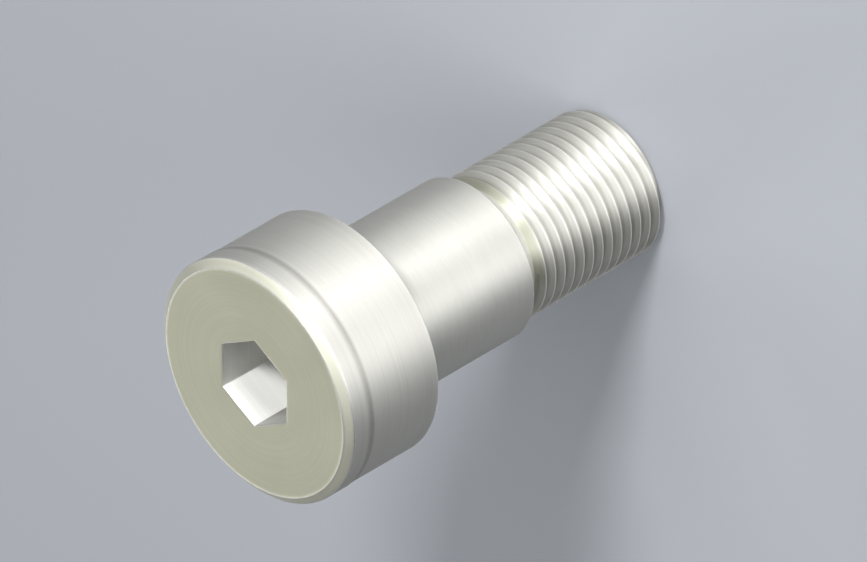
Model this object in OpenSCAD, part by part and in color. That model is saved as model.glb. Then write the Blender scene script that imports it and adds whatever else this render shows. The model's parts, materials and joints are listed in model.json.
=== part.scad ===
// Socket head shoulder bolt, in millimetres.
// The origin is on the axis in the plane of the seat under the head, and +Z points out of the head.

/* [Head] */
// Diameter of the head over its front band
head_d = 30; // [26:0.5:40]
// Height of the head above its seat
head_h = 14; // [10:0.5:20]
// Height of the front band, from the front face
band_h = 3.5; // [2.5:0.5:8]
// How far the band stands proud of the rest of the head
band_step = 0.1; // [0.05:0.05:1]
// Width of the front chamfer, across the face
face_chamfer_w = 1; // [0.2:0.1:3]
// Height of the front chamfer, along the head
face_chamfer_h = 0.75; // [0.25:0.05:2]

/* [Hex socket] */
// Width of the socket across its flats
socket_af = 10; // [6:0.5:14]
// Depth of the flats below the front face
socket_depth = 8.8; // [4:0.1:12]
// Width of the ledge between the flats and the cone below them
socket_ledge = 0.2; // [0.1:0.1:1.5]
// Angle of the cone at the bottom of the socket
cone_angle = 120; // [90:1:150]

/* [Shoulder] */
// Diameter of the ground shoulder
shoulder_d = 20; // [19:0.1:25]
// Length of the shoulder, from the seat under the head
shoulder_l = 20; // [8:0.5:80]
// Width of the grinding relief under the head
relief_w = 2.5; // [1.5:0.1:4]
// Depth of the grinding relief below the shoulder
relief_depth = 0.3; // [0.1:0.05:0.6]
// Radius of the corner between the relief and the seat
relief_fillet = 0.25; // [0.1:0.05:0.3]
// Angle of the relief's run-out up to the shoulder
relief_angle = 30; // [15:1:60]

/* [Neck] */
// Length of the neck between the shoulder and the thread
neck_l = 2.1; // [1.2:0.1:6]
// Depth of the neck below the crests of the thread
neck_depth = 1.1; // [0.6:0.1:2]
// Radius of the corner between the neck and the shoulder
neck_fillet = 0.6; // [0.1:0.05:1]

/* [Thread] */
// Diameter over the crests of the thread
thread_d = 18; // [14:0.5:18.5]
// Length of the threaded end, with both of its chamfers
thread_l = 19.9; // [8:0.1:60]
// Height of the chamfer at each end of the thread, along the bolt
thread_chamfer_h = 0.7; // [0.3:0.05:2]
// Width of the chamfer at the free end, across its face
end_chamfer_w = 1.1; // [0.3:0.1:3]

/* [Hidden] */
$fn = 96;

steel = [0.80, 0.80, 0.76];
// How far the socket's cut starts above the front face
cut_above = 1;

head_r = head_d / 2;
rear_r = head_r - band_step;
face_r = head_r - face_chamfer_w;
band_z = head_h - band_h;
socket_z = head_h - socket_depth;
socket_corner_r = socket_af / 2 / cos(30);
cone_r = socket_af / 2 - socket_ledge;
cone_h = cone_r / tan(cone_angle / 2);
shoulder_r = shoulder_d / 2;
relief_r = shoulder_r - relief_depth;
relief_runout = relief_depth / tan(relief_angle);
thread_r = thread_d / 2;
neck_r = thread_r - neck_depth;
end_r = thread_r - end_chamfer_w;
shoulder_z = -shoulder_l;
neck_z = shoulder_z - neck_l;
end_z = neck_z - thread_l;

// Half of the turned blank's section, from the front face down to the free end
module blank_outline() {
    polygon([
        [0, head_h],
        [face_r, head_h],
        [head_r, head_h - face_chamfer_h],
        [head_r, band_z],
        [rear_r, band_z],
        [rear_r, 0],
        [relief_r, 0],
        [relief_r, relief_runout - relief_w],
        [shoulder_r, -relief_w],
        [shoulder_r, shoulder_z],
        [neck_r, shoulder_z],
        [neck_r, neck_z],
        [thread_r, neck_z - thread_chamfer_h],
        [thread_r, end_z + thread_chamfer_h],
        [end_r, end_z],
        [0, end_z],
    ]);
}

// Ring that rounds the inner corner where a shank of radius r meets a face at height z
module inner_corner(r, z, fillet) {
    rotate_extrude()
        difference() {
            translate([r - fillet, z - fillet])
                square([2 * fillet, 2 * fillet]);
            translate([r + fillet, z - fillet])
                circle(fillet);
        }
}

// Turned blank with its two inner corners
module turned_blank() {
    rotate_extrude()
        blank_outline();
    inner_corner(relief_r, 0, min(relief_fillet, relief_depth));
    inner_corner(neck_r, shoulder_z, neck_fillet);
}

// Hexagon with two corners on the X axis, over the cone at its bottom
module hex_socket() {
    translate([0, 0, socket_z])
        cylinder(h = socket_depth + cut_above, r = socket_corner_r, $fn = 6);
    translate([0, 0, socket_z - cone_h])
        cylinder(h = cone_h, r1 = 0, r2 = cone_r);
}

module shoulder_bolt() {
    color(steel)
        difference() {
            turned_blank();
            hex_socket();
        }
}

shoulder_bolt();
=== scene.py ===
import json
import math
from dataclasses import dataclass

import bmesh
import bpy
import numpy as np
from mathutils import Matrix, Vector


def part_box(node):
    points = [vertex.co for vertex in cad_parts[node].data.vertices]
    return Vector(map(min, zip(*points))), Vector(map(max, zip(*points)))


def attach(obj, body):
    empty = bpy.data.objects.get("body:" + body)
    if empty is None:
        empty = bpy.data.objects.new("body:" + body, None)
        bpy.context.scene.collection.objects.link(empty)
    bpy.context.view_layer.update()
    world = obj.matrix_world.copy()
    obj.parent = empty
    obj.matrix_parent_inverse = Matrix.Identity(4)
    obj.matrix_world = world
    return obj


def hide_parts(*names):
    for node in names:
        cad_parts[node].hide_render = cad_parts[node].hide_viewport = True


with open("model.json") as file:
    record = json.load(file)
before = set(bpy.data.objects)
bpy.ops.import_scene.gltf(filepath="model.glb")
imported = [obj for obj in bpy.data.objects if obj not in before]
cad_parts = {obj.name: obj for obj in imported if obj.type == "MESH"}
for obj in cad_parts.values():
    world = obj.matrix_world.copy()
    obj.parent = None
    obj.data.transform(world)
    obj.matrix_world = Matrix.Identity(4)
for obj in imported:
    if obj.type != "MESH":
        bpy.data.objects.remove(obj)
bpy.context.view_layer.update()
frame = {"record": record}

# Sizes that the frame gives, in metres

MM = 0.001
TURN = 2 * math.pi
NODE = "shoulder_bolt"
low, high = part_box(NODE)
mounts = {mount["name"]: mount for mount in frame["record"]["mounts"]}

head_top = high.z
head_r = high.x
end_z = low.z
shoulder_r = mounts["shoulder"]["dims"]["r_mm"] * MM
shoulder_z = mounts["shoulder_end"]["pos_m"][2]
thread_r = mounts["thread"]["dims"]["r_mm"] * MM
socket_depth = mounts["hex_socket"]["dims"]["length_mm"] * MM

# Sizes of the turned details

band_h = 3.5 * MM
band_step = 0.1 * MM
face_chamfer_w = 1.0 * MM
face_chamfer_h = 0.75 * MM
socket_af = 10.0 * MM
socket_ledge = 0.2 * MM
socket_cone_angle = math.radians(120)
relief_w = 2.5 * MM
relief_depth = 0.3 * MM
relief_fillet = 0.25 * MM
relief_angle = math.radians(30)
neck_l = 2.1 * MM
neck_depth = 1.1 * MM
neck_fillet = 0.6 * MM
thread_chamfer_h = 0.7 * MM
end_chamfer_w = 1.1 * MM

# Thread M18 x 1.5, right-hand, with the basic profile of a metric thread

pitch = 1.5 * MM
flank_height = pitch * math.sqrt(3) / 2
crest_cut = flank_height / 8
crest_w = pitch / 8
root_round = flank_height / 6
crest_round = 0.04 * MM

# Radii that soften the machined edges

edge_round = 0.12 * MM
step_round = 0.04 * MM
mouth_round = 0.1 * MM
corner_round = 0.15 * MM

# Flat ring round the socket's mouth, which keeps the shading of the face level

mouth_land = 0.5 * MM

# Segments round the turned surfaces, the cone, each wall of the socket and each rounded corner

AROUND = 240
CONE_AROUND = 96
WALL_STEPS = 14
ARC_STEPS = 4

# Limits of the mesh and its shading

TINY = 1e-9  # Lengths under this are none
WELD = 1e-7  # Points nearer than this are one
BEVEL_SLACK = 0.01 * MM  # How far under the chamfer at the neck a point is still on it
SHARP_ANGLE = math.radians(28)  # Edges that bend more stay sharp
FACE_WEIGHT = 100  # How much large faces lead the shading of those beside them, 50 is even

# Radii and heights that follow from these sizes

rear_r = head_r - band_step
band_z = head_top - band_h
face_r = head_r - face_chamfer_w
socket_z = head_top - socket_depth
cone_r = socket_af / 2 - socket_ledge
cone_z = socket_z - cone_r / math.tan(socket_cone_angle / 2)
relief_r = shoulder_r - relief_depth
relief_runout = relief_depth / math.tan(relief_angle)
neck_r = thread_r - neck_depth
neck_z = shoulder_z - neck_l
end_r = thread_r - end_chamfer_w


# Outlines

def soften(corners, closed=False):
    """Points along a line through the corners (x, y, radius), each rounded to its radius."""
    points = []
    for k, (x, y, radius) in enumerate(corners):
        corner = np.array((x, y))
        at_end = not closed and k in (0, len(corners) - 1)
        if at_end or radius == 0:
            points.append(corner)
            continue
        back = np.array(corners[k - 1][:2]) - corner
        ahead = np.array(corners[(k + 1) % len(corners)][:2]) - corner
        back /= np.linalg.norm(back)
        ahead /= np.linalg.norm(ahead)
        half = math.acos(back @ ahead) / 2
        reach = radius / math.tan(half)
        middle = back + ahead
        centre = corner + middle / np.linalg.norm(middle) * radius / math.sin(half)
        first = corner + back * reach - centre
        last = corner + ahead * reach - centre
        turn = math.pi - 2 * half
        for t in np.linspace(0, 1, ARC_STEPS + 1):
            spoke = math.sin((1 - t) * turn) * first + math.sin(t * turn) * last
            points.append(centre + spoke / math.sin(turn))
    return np.array(points)


def lengths_along(points, start=0):
    """Length of the way from the first of these (x, y) points to each of them, on top of the start."""
    steps = np.linalg.norm(np.diff(points, axis=0), axis=1)
    return start + np.concatenate(([0], np.cumsum(steps)))


def circle(radius, z, count=AROUND):
    angles = [TURN * k / count for k in range(count)]
    return [(radius * math.cos(a), radius * math.sin(a), z) for a in angles]


def hexagon(flat_r, rounding, z):
    """Outline of the socket at one height, with its first corner on the X axis."""
    sides = 6
    corner_r = flat_r / math.cos(math.pi / sides)
    corners = [(x, y, rounding) for x, y, z in circle(corner_r, z, sides)]
    rounded = soften(corners, closed=True)
    outline = []
    for k, (here, ahead) in enumerate(zip(rounded, np.roll(rounded, -1, axis=0))):
        leaves_corner = k % (ARC_STEPS + 1) == ARC_STEPS
        steps = WALL_STEPS if leaves_corner else 1
        outline += [here + (ahead - here) * t / steps for t in range(steps)]
    start = ARC_STEPS // 2
    return [(x, y, z) for x, y in np.roll(outline, -start, axis=0)]


def angles_of(points):
    return [math.atan2(y, x) % TURN for x, y, z in points]


def turned_side():
    """Outline of the head, shoulder and neck from the front face down, and the finish after each point."""
    stretches = [
        (face_r - edge_round, head_top, 0, "face"),
        (face_r, head_top, edge_round, "chamfer"),
        (head_r, head_top - face_chamfer_h, edge_round, "head"),
        (head_r, band_z, step_round, "head"),
        (rear_r, band_z, step_round, "head"),
        (rear_r, 0, edge_round, "face"),
        (relief_r, 0, relief_fillet, "neck"),
        (relief_r, relief_runout - relief_w, edge_round, "neck"),
        (shoulder_r, -relief_w, edge_round, "shoulder"),
        (shoulder_r, shoulder_z, edge_round, "face"),
        (neck_r, shoulder_z, neck_fillet, "neck"),
        (neck_r, neck_z, 0, "neck"),
    ]
    corners = []
    finish_names = []
    for radius, height, rounding, finish in stretches:
        corners.append((radius, height, rounding))
        finish_names += [finish] * (ARC_STEPS + 1 if rounding else 1)
    return soften(corners), finish_names


def thread_lines():
    """The thread's own line and the chamfered line that it is cut in, both as rising (radius, height)."""
    apex_r = thread_r + crest_cut - flank_height
    turns = math.ceil((neck_z - end_z) / pitch) + 2
    corners = []
    for k in range(-1, turns):
        z = end_z + k * pitch
        corners += [
            (apex_r, z - pitch / 2, root_round),
            (thread_r, z - crest_w / 2, crest_round),
            (thread_r, z + crest_w / 2, crest_round),
        ]
    chamfered = soften([
        (0, end_z, 0),
        (end_r, end_z, edge_round),
        (thread_r, end_z + thread_chamfer_h, edge_round),
        (thread_r, neck_z - thread_chamfer_h, edge_round),
        (neck_r, neck_z, 0),
    ])
    return soften(corners), chamfered[1:]


def thread_side(angle, thread, chamfered):
    """Radii and heights up one side of the threaded end, at an angle round the axis.

    At each height the side is on the line with the smaller radius, and it has a point where they cross.
    """
    rise = pitch * angle / TURN
    thread_z = thread[:, 1] + rise

    def thread_at(z):
        return np.interp(z, thread_z, thread[:, 0])

    def chamfered_at(z):
        return np.interp(z, chamfered[:, 1], chamfered[:, 0])

    heights = np.concatenate((chamfered[:, 1], thread_z))
    from_thread = np.arange(len(heights)) >= len(chamfered)
    inside = (heights >= end_z) & (heights <= neck_z)
    order = np.argsort(heights[inside], kind="stable")
    heights, from_thread = heights[inside][order], from_thread[inside][order]
    proud = thread_at(heights) - chamfered_at(heights)
    proud[abs(proud) < TINY] = 0
    kept = np.where(from_thread, proud <= 0, proud >= 0)
    crosses = np.nonzero(proud[:-1] * proud[1:] < 0)[0]
    share = proud[crosses] / (proud[crosses] - proud[crosses + 1])
    crossing = heights[crosses] + share * (heights[crosses + 1] - heights[crosses])
    heights = np.sort(np.concatenate((heights[kept], crossing)))
    return np.minimum(thread_at(heights), chamfered_at(heights)), heights


# Skin of the bolt

class Skin:
    """The vertices and faces of one closed mesh, built up row by row.

    Each vertex also holds its way along the outline, from the middle of the socket to the free end.
    """

    def __init__(self):
        self.points = []
        self.ways = []
        self.faces = []
        self.finishes = []

    def row(self, points, ways):
        """New vertices at these points. Their ways are a list, or one number for them all."""
        first = len(self.points)
        self.points.extend(tuple(p) for p in points)
        self.ways.extend(np.broadcast_to(ways, len(points)).tolist())
        return list(range(first, len(self.points)))

    def face(self, corners, finish):
        self.faces.append(corners)
        self.finishes.append(finish)

    def ring(self, upper, lower, finish):
        """Quads between two closed rows of the same length."""
        for k in range(len(upper)):
            n = (k + 1) % len(upper)
            self.face((upper[k], lower[k], lower[n], upper[n]), finish)

    def seam(self, first, first_keys, second, second_keys, finish):
        """Triangles between two rows, which advance in step with their rising keys."""
        i = j = 0
        while i < len(first) - 1 or j < len(second) - 1:
            second_done = j == len(second) - 1
            if second_done or (i < len(first) - 1 and first_keys[i + 1] <= second_keys[j + 1]):
                self.face((first[i], first[i + 1], second[j]), finish)
                i += 1
            else:
                self.face((first[i], second[j + 1], second[j]), finish)
                j += 1

    def loop_seam(self, first, first_angles, second, second_angles, finish):
        """Triangles between two closed rows that start at the same angle."""
        self.seam(
            [*first, first[0]], [*first_angles, first_angles[0] + TURN],
            [*second, second[0]], [*second_angles, second_angles[0] + TURN],
            finish,
        )

    def fan(self, row, tip, way, finish):
        """Triangles from a closed row to one point."""
        centre = self.row([tip], way)[0]
        for k in range(len(row)):
            self.face((row[k], row[(k + 1) % len(row)], centre), finish)


def add_socket(skin):
    """Socket from its cone up to the land round its mouth.

    Returns the land's outer row, with its angles and its way.
    """
    flat_r = socket_af / 2
    side = soften([
        (0, cone_z, 0),
        (cone_r, socket_z, 0),
        (flat_r, socket_z, mouth_round),
        (flat_r, head_top, mouth_round),
        (flat_r + mouth_land, head_top, 0),
    ])
    ways = lengths_along(side)
    cone = skin.row(circle(cone_r, socket_z, CONE_AROUND), ways[1])
    skin.fan(cone, (0, 0, cone_z), ways[0], "drilled")
    outlines = [hexagon(r, corner_round + max(r - flat_r, 0), z) for r, z in side[2:]]
    rows = [skin.row(outline, way) for outline, way in zip(outlines, ways[2:])]
    cone_angles = [TURN * k / CONE_AROUND for k in range(CONE_AROUND)]
    skin.loop_seam(cone, cone_angles, rows[0], angles_of(outlines[0]), "drilled")
    for lower, upper in zip(rows[:-1], rows[1:-1]):
        skin.ring(upper, lower, "socket")
    skin.ring(rows[-1], rows[-2], "face")
    return rows[-1], angles_of(outlines[-1]), ways[-1]


def on_bevel(point):
    """Whether a point of the threaded end lies on the chamfer at the neck, and not in the thread."""
    x, y, z = point
    bevel_r = neck_r + (neck_z - z) * neck_depth / thread_chamfer_h
    return math.hypot(x, y) > bevel_r - BEVEL_SLACK


def add_threaded_end(skin, neck_row, neck_way):
    """Thread between its two chamfers. Returns the row round the free end's face."""
    thread, chamfered = thread_lines()
    columns, keys, end_row = [], [], []
    for k in range(AROUND):
        angle = TURN * k / AROUND
        radii, heights = thread_side(angle, thread, chamfered)
        ways = lengths_along(np.stack((radii, heights), axis=1)[::-1], neck_way)[::-1]
        points = [
            (r * math.cos(angle), r * math.sin(angle), z)
            for r, z in zip(radii[:-1], heights[:-1])
        ]
        column = skin.row(points, ways[:-1]) + [neck_row[k]]
        columns.append(column)
        keys.append(heights - pitch * k / AROUND)
        end_row.append(column[0])
    for k in range(AROUND):
        n = (k + 1) % AROUND
        wrap = pitch if n == 0 else 0
        skin.seam(columns[k], keys[k], columns[n], keys[n] - wrap, "thread")
    for k, corners in enumerate(skin.faces):
        if skin.finishes[k] == "thread" and all(on_bevel(skin.points[c]) for c in corners):
            skin.finishes[k] = "bevel"
    return end_row


def bolt_skin():
    """One closed skin over the whole bolt."""
    skin = Skin()
    land, land_angles, land_way = add_socket(skin)
    outline, finish_names = turned_side()
    ways = lengths_along(outline, land_way + outline[0][0] - socket_af / 2 - mouth_land)
    rows = [skin.row(circle(r, z), way) for (r, z), way in zip(outline, ways)]
    around = [TURN * k / AROUND for k in range(AROUND)]
    skin.loop_seam(land, land_angles, rows[0], around, "face")
    for upper, lower, finish in zip(rows, rows[1:], finish_names):
        skin.ring(upper, lower, finish)
    end_row = add_threaded_end(skin, rows[-1], ways[-1])
    skin.fan(end_row, (0, 0, end_z), max(skin.ways) + end_r, "face")
    return skin


def unrolled(skin):
    """Corners of all faces on the unrolled skin, as (turn round the axis, way), both from 0 to 1."""
    half_turn = 0.5
    points = np.array(skin.points)
    turns = np.arctan2(points[:, 1], points[:, 0]) / TURN % 1
    on_axis = np.hypot(points[:, 0], points[:, 1]) < TINY
    heights = np.array(skin.ways) / max(skin.ways)
    places = []
    for corners in skin.faces:
        face = np.array(corners)
        across = turns[face]
        off_axis = ~on_axis[face]
        crosses_start = np.ptp(across[off_axis]) > half_turn
        if crosses_start:
            across = np.where(across < half_turn, across + 1, across)
        across = np.where(off_axis, across, across[off_axis].mean())
        places.append(np.stack((across, heights[face]), axis=1))
    return np.concatenate(places)


# Shader nodes

def connect(tree, entry, value):
    """Links the entry of a node to another node's socket, or sets it to a plain value."""
    if isinstance(value, bpy.types.NodeSocket):
        tree.links.new(value, entry)
    else:
        entry.default_value = value


def add(tree, kind, *values, **settings):
    """A new node with these settings, and its first inputs linked or set to the values."""
    made = tree.nodes.new(kind)
    for name, value in settings.items():
        setattr(made, name, value)
    for entry, value in zip(made.inputs, values):
        connect(tree, entry, value)
    return made


def calc(tree, operation, *values):
    return add(tree, "ShaderNodeMath", *values, operation=operation).outputs[0]


def vector_calc(tree, operation, *values):
    """Vector maths, as its vector result or, where the result is a length, as its number."""
    made = add(tree, "ShaderNodeVectorMath", *values, operation=operation)
    return made.outputs["Value" if operation in ("LENGTH", "DISTANCE") else "Vector"]


def vector_of(tree, *parts):
    return add(tree, "ShaderNodeCombineXYZ", *parts).outputs[0]


def parts_of(tree, vector):
    return add(tree, "ShaderNodeSeparateXYZ", vector).outputs


def noise(tree, vector, detail=2):
    """Noise with cells one unit long and this many finer layers, from 0 to 1."""
    made = add(tree, "ShaderNodeTexNoise", vector)
    made.inputs["Scale"].default_value = 1
    made.inputs["Detail"].default_value = detail
    return made.outputs[0]


def grain(tree, point, cell, **layers):
    """Noise at a point of the bolt, with cells of this length."""
    return noise(tree, vector_calc(tree, "MULTIPLY", point, [1 / cell] * 3), **layers)


def remap(tree, value, start, end, to_start=0, to_end=1):
    """The value's stretch from start to end, eased to the new stretch and held at its ends."""
    made = add(
        tree, "ShaderNodeMapRange", value, start, end, to_start, to_end,
        interpolation_type="SMOOTHSTEP",
    )
    return made.outputs[0]


def blend(tree, factor, first, second):
    """Colour between two colours."""
    made = add(tree, "ShaderNodeMix", factor, data_type="RGBA")
    for name, value in (("A", first), ("B", second)):
        entry = next(s for s in made.inputs if s.name == name and s.type == "RGBA")
        connect(tree, entry, value)
    return next(s for s in made.outputs if s.type == "RGBA")


def near_edges(tree, radius, height, edges, reach):
    """1 on the edges, which are circles given as (radius, height), and 0 past their reach."""
    here = vector_of(tree, radius, height, 0)
    nearest = reach
    for edge_r, edge_z in edges:
        distance = vector_calc(tree, "DISTANCE", here, (edge_r, edge_z, 0))
        nearest = calc(tree, "MINIMUM", nearest, distance)
    return remap(tree, nearest, 0, reach, 1, 0)


# Steel

@dataclass
class Finish:
    """What one machining step leaves on the steel. Its marks run round the axis.

    They follow one another along the radius on a faced or drilled surface, and along the height on any
    other.
    """

    across: str
    spacing: float
    depth: float
    roughness: float
    color: tuple
    turns: float  # How many turns round the axis a mark is long
    stretch: float  # How far highlights are drawn out, 0 to 1


pale_steel = (0.64, 0.633, 0.59, 1)
# Darker, khaki copy of the steel on the faces: painted shade, for how dim the front face looks under the
# lamps
shaded_face_steel = (0.53, 0.53, 0.42, 1)
# Paler, creamier copy of the steel on the chamfers: painted highlight, and on the chamfer at the neck it
# also lifts the shade under the shoulder
lit_chamfer_steel = (0.74, 0.74, 0.63, 1)
# Paler copy of the steel on the thread: painted light that makes up for the shade its grooves cast on each
# other
lit_thread_steel = (0.70, 0.693, 0.65, 1)
# Paler copy of the steel in the socket: painted highlight, so that its walls look brighter than they are
# lit
lit_socket_steel = (0.74, 0.74, 0.715, 1)
bright_steel = (0.86, 0.86, 0.83, 1)
# Dark colour of the painted shade in corners, grooves and the socket
painted_shade_steel = (0.26, 0.25, 0.22, 1)

finishes = {
    "face": Finish("radius", 0.12 * MM, 0.003 * MM, 0.58, shaded_face_steel, 0.3, 0),
    "chamfer": Finish("height", 0.12 * MM, 0.003 * MM, 0.58, lit_chamfer_steel, 0.3, 0),
    "head": Finish("height", 0.14 * MM, 0.006 * MM, 0.64, pale_steel, 0.4, 0.72),
    "shoulder": Finish("height", 0.06 * MM, 0.003 * MM, 0.62, pale_steel, 0.05, 0.72),
    "neck": Finish("height", 0.16 * MM, 0.006 * MM, 0.58, pale_steel, 0.5, 0.5),
    "bevel": Finish("height", 0.12 * MM, 0.003 * MM, 0.62, lit_chamfer_steel, 0.3, 0.85),
    "thread": Finish("height", 0.08 * MM, 0.002 * MM, 0.6, lit_thread_steel, 0.3, 0.66),
    "socket": Finish("height", 0.18 * MM, 0.004 * MM, 0.64, lit_socket_steel, 0.6, 0.75),
    "drilled": Finish("radius", 0.2 * MM, 0.008 * MM, 0.7, pale_steel, 0.4, 0),
}

# Marks

across_the_marks = 0.25  # A quarter turn, so that highlights spread across the marks and not along them
fine_share = 0.7
broad_scale = (0.6, 0.6, 0.12)  # Along the marks twice, then across them
dull_to_full = (0.3, 0.7)  # Stretch of their noise over which the colour goes from dull to full
dull_brightness = 0.92

# Wear

wear_strength = 0.45
wear_reach = 0.4 * MM
chip_size = 0.7 * MM  # Chips break the wear of an edge up
chip_detail = 3
chip_limits = (0.3, 0.65)  # Stretch of their noise over which the wear goes from least to full
least_wear = 0.55
crest_wear = 0.8
crest_wear_depth = 0.12 * MM
mouth_wear_depth = 0.3 * MM

# Painted shade: darker steel in corners, in the thread's grooves and deep in the socket

painted_shade_strength = 0.6
painted_shade_reach = 0.7 * MM
groove_shade = 0.7
groove_shade_full = 0.85 * MM  # Depths in the thread where the painted shade is full and where it starts
groove_shade_start = 0.35 * MM
socket_shade = 0.5
socket_shade_h = 2 * MM

# How far patches, marks and wear change the roughness

patch_size = 6 * MM
patch_roughness = 0.12
mark_roughness = 0.1
wear_roughness = -0.08

# Edges that are rubbed bright and corners with painted shade, as (radius, height)

worn_edges = [
    (face_r, head_top),
    (head_r, head_top - face_chamfer_h),
    (head_r, band_z),
    (rear_r, 0),
    (shoulder_r, shoulder_z),
    (thread_r, neck_z - thread_chamfer_h),
    (thread_r, end_z + thread_chamfer_h),
    (end_r, end_z),
]
shaded_corners = [
    (rear_r, band_z),
    (relief_r, 0),
    (neck_r, shoulder_z),
]


def marks_on(tree, finish, outward, radius, height):
    """Height of the marks of one finish, from 0 to 1."""
    across = radius if finish.across == "radius" else height
    step = vector_of(tree, 0, 0, calc(tree, "DIVIDE", across, finish.spacing))
    around = [1 / (TURN * finish.turns)] * 3
    heading = vector_calc(tree, "NORMALIZE", outward)
    lay = vector_calc(tree, "MULTIPLY_ADD", heading, around, step)
    fine = noise(tree, lay)
    broad = noise(tree, vector_calc(tree, "MULTIPLY", lay, broad_scale))
    return calc(
        tree, "ADD",
        calc(tree, "MULTIPLY", fine, fine_share),
        calc(tree, "MULTIPLY", broad, 1 - fine_share),
    )


def wear_on(tree, name, point, radius, height):
    """How bright the steel is rubbed, from 0 to 1."""
    if name == "thread":
        return remap(tree, radius, thread_r - crest_wear_depth, thread_r, 0, crest_wear)
    if name in ("socket", "drilled"):
        return remap(tree, height, head_top - mouth_wear_depth, head_top)
    edge = near_edges(tree, radius, height, worn_edges, wear_reach)
    chips = grain(tree, point, chip_size, detail=chip_detail)
    return calc(tree, "MULTIPLY", edge, remap(tree, chips, *chip_limits, least_wear, 1))


def painted_shade_on(tree, name, radius, height):
    """How much shade is painted on the steel, from 0 to 1, in the thread's grooves, deep in the socket and
    in its corners.
    """
    if name == "thread":
        full_r = thread_r - groove_shade_full
        return remap(tree, radius, full_r, thread_r - groove_shade_start, groove_shade, 0)
    if name in ("socket", "drilled"):
        return remap(tree, height, cone_z, socket_z + socket_shade_h, socket_shade, 0)
    return near_edges(tree, radius, height, shaded_corners, painted_shade_reach)


def steel(name, finish):
    """Bare steel with the marks of one finish, bright worn edges, and painted shade in its corners,
    grooves and socket.
    """
    material = bpy.data.materials.new("steel_" + name)
    material.use_nodes = True
    tree = material.node_tree
    shader = tree.nodes["Principled BSDF"]
    point = add(tree, "ShaderNodeTexCoord").outputs["Object"]
    x, y, height = parts_of(tree, point)
    outward = vector_of(tree, x, y, 0)
    radius = vector_calc(tree, "LENGTH", outward)
    marks = marks_on(tree, finish, outward, radius, height)
    wear = wear_on(tree, name, point, radius, height)
    painted_shade = painted_shade_on(tree, name, radius, height)

    dull = [dull_brightness * c for c in finish.color[:3]] + [1]
    color = blend(tree, remap(tree, marks, *dull_to_full), dull, finish.color)
    color = blend(tree, calc(tree, "MULTIPLY", wear, wear_strength), color, bright_steel)
    # Painted shade: darker in corners, in the thread's grooves and deep in the socket
    color = blend(tree, calc(tree, "MULTIPLY", painted_shade, painted_shade_strength), color, painted_shade_steel)
    connect(tree, shader.inputs["Base Color"], color)

    patches = grain(tree, point, patch_size)
    rough = finish.roughness - (patch_roughness + mark_roughness) / 2
    rough = calc(tree, "MULTIPLY_ADD", patches, patch_roughness, rough)
    rough = calc(tree, "MULTIPLY_ADD", marks, mark_roughness, rough)
    rough = calc(tree, "MULTIPLY_ADD", wear, wear_roughness, rough)
    connect(tree, shader.inputs["Roughness"], rough)
    shader.inputs["Metallic"].default_value = 1
    shader.inputs["Anisotropic"].default_value = finish.stretch
    shader.inputs["Anisotropic Rotation"].default_value = across_the_marks

    bump = add(tree, "ShaderNodeBump")
    bump.inputs["Strength"].default_value = 1
    bump.inputs["Distance"].default_value = finish.depth
    connect(tree, bump.inputs["Height"], marks)
    connect(tree, shader.inputs["Normal"], bump.outputs["Normal"])
    return material


# Bolt

def new_object(name, data):
    """A new object with this data, linked to the scene."""
    made = bpy.data.objects.new(name, data)
    bpy.context.scene.collection.objects.link(made)
    return made


def bolt_object(materials):
    skin = bolt_skin()
    mesh = bpy.data.meshes.new("bolt")
    mesh.from_pydata(skin.points, [], skin.faces)
    names = list(materials)
    for name in names:
        mesh.materials.append(materials[name])
    mesh.polygons.foreach_set("material_index", [names.index(f) for f in skin.finishes])
    mesh.uv_layers.new(name="OFBake").uv.foreach_set("vector", unrolled(skin).ravel())
    work = bmesh.new()
    work.from_mesh(mesh)
    bmesh.ops.remove_doubles(work, verts=work.verts, dist=WELD)
    bmesh.ops.recalc_face_normals(work, faces=work.faces)
    work.to_mesh(mesh)
    work.free()
    mesh.shade_smooth()
    mesh.set_sharp_from_angle(angle=SHARP_ANGLE)
    piece = new_object("bolt_finished", mesh)
    shading = piece.modifiers.new("even_shading", "WEIGHTED_NORMAL")
    shading.keep_sharp = True
    shading.weight = FACE_WEIGHT
    return piece


bolt = bolt_object({name: steel(name, finish) for name, finish in finishes.items()})
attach(bolt, "root")
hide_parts(NODE)


# Floor

floor_half = 2.0
floor_color = (0.40, 0.42, 0.455, 1)


def floor_under(z, half):
    corners = [(x, y, z) for x, y in ((-half, -half), (half, -half), (half, half), (-half, half))]
    mesh = bpy.data.meshes.new("floor")
    mesh.from_pydata(corners, [], [(0, 1, 2, 3)])
    material = bpy.data.materials.new("floor_pale")
    material.use_nodes = True
    shader = material.node_tree.nodes["Principled BSDF"]
    shader.inputs["Base Color"].default_value = floor_color
    shader.inputs["Roughness"].default_value = 1
    shader.inputs["Specular IOR Level"].default_value = 0
    mesh.materials.append(material)
    return new_object("floor", mesh)


floor_under(end_z, floor_half)


# Camera, far off with a long lens, so that the view is as flat as the picture's

picture_back = Vector((1, -1, 1)).normalized()
picture_up = (Vector((1, 0, 0)) - picture_back * picture_back.x).normalized()
picture_right = picture_up.cross(picture_back)
picture_width = 96.69 * MM
lens = 1000
sensor = 36
clip_start = 0.05
clip_end = 10

# Middle of the picture, just off the axis towards the picture's lower right

middle_z = -14.02 * MM
middle_offset = 0.074 * MM
lower_right = Vector((-1, -1, 0)).normalized()
middle = Vector((0, 0, middle_z)) + middle_offset * lower_right

camera = new_object("camera", bpy.data.cameras.new("camera"))
camera.data.lens = lens
camera.data.sensor_width = sensor
camera.data.clip_start = clip_start
camera.data.clip_end = clip_end
camera_distance = picture_width * lens / sensor
turned = Matrix((picture_right, picture_up, picture_back)).transposed().to_4x4()
camera.matrix_world = Matrix.Translation(middle + picture_back * camera_distance) @ turned
bpy.context.scene.camera = camera


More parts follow.
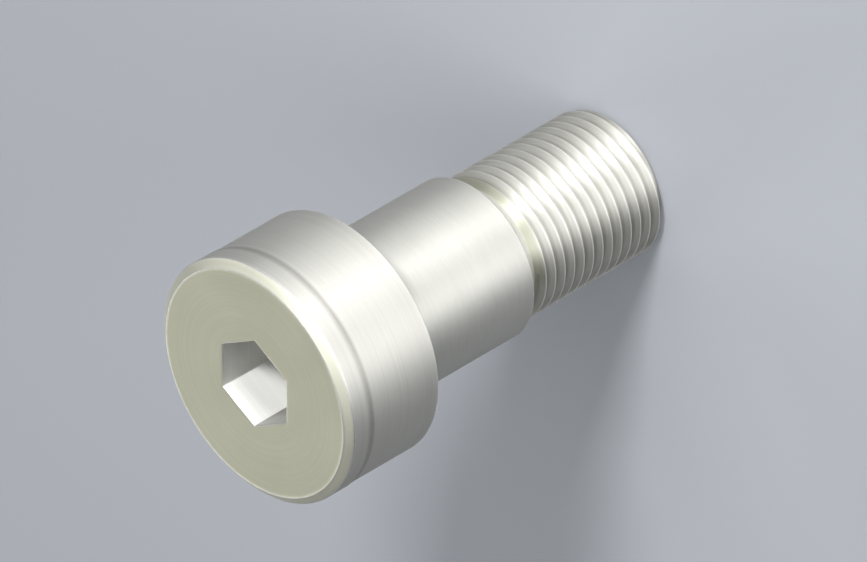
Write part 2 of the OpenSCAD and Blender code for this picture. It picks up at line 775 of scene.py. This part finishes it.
# Lamps, as name, azimuth and elevation in degrees, width and height in metres, and level

lamp_distance = 1.0
lamps = [
    ("key", 75, 38, 0.2, 0.2, 0.78),
    ("front", 56, 10, 1.2, 0.3, 0.54),
    ("front_left", 106, 12, 0.7, 0.3, 0.36),
    ("front_right", 17, 12, 0.5, 0.3, 0.60),
    ("top", 45, 68, 1.0, 0.6, 0.30),
    ("back", 225, 24, 0.4, 0.5, 0.22),
    ("rear_left", 163, 33, 0.6, 0.6, 0.14),
    ("rear_right", 287, 33, 0.6, 0.6, 0.05),
]


def softbox(name, azimuth, elevation, width, height, level):
    """A large lamp that looks at the bolt. Azimuth 0 is in front at -Y, and it rises towards +X.

    At level 1 it lights a matt surface that faces it to the surface's own colour.
    """
    a, e = math.radians(azimuth), math.radians(elevation)
    away = Vector((math.sin(a) * math.cos(e), -math.cos(a) * math.cos(e), math.sin(e)))
    data = bpy.data.lights.new(name, "AREA")
    data.shape = "RECTANGLE"
    data.size = width
    data.size_y = height
    data.energy = level * (math.pi * lamp_distance) ** 2
    lamp = new_object(name, data)
    lamp.location = Vector((0, 0, (end_z + head_top) / 2)) + away * lamp_distance
    lamp.rotation_mode = "QUATERNION"
    lamp.rotation_quaternion = away.to_track_quat("Z", "Y")
    lamp.visible_camera = False


for lamp_row in lamps:
    softbox(*lamp_row)


# World

far_floor = (0.36, 0.38, 0.415, 1)
dim_sky = (0.02, 0.02, 0.02, 1)
horizon = (0.02, 0.08)  # Heights of the view, 1 straight up, between which floor turns to sky


def studio_world():
    """Dim overhead, and up to the horizon as pale as the far floor, which low views look past."""
    world = bpy.data.worlds.new("studio")
    world.use_nodes = True
    tree = world.node_tree
    direction = add(tree, "ShaderNodeTexCoord").outputs["Generated"]
    height = parts_of(tree, direction)["Z"]
    color = blend(tree, remap(tree, height, *horizon), far_floor, dim_sky)
    connect(tree, tree.nodes["Background"].inputs["Color"], color)
    return world


bpy.context.scene.world = studio_world()

bpy.context.scene.view_settings.view_transform = "Standard"
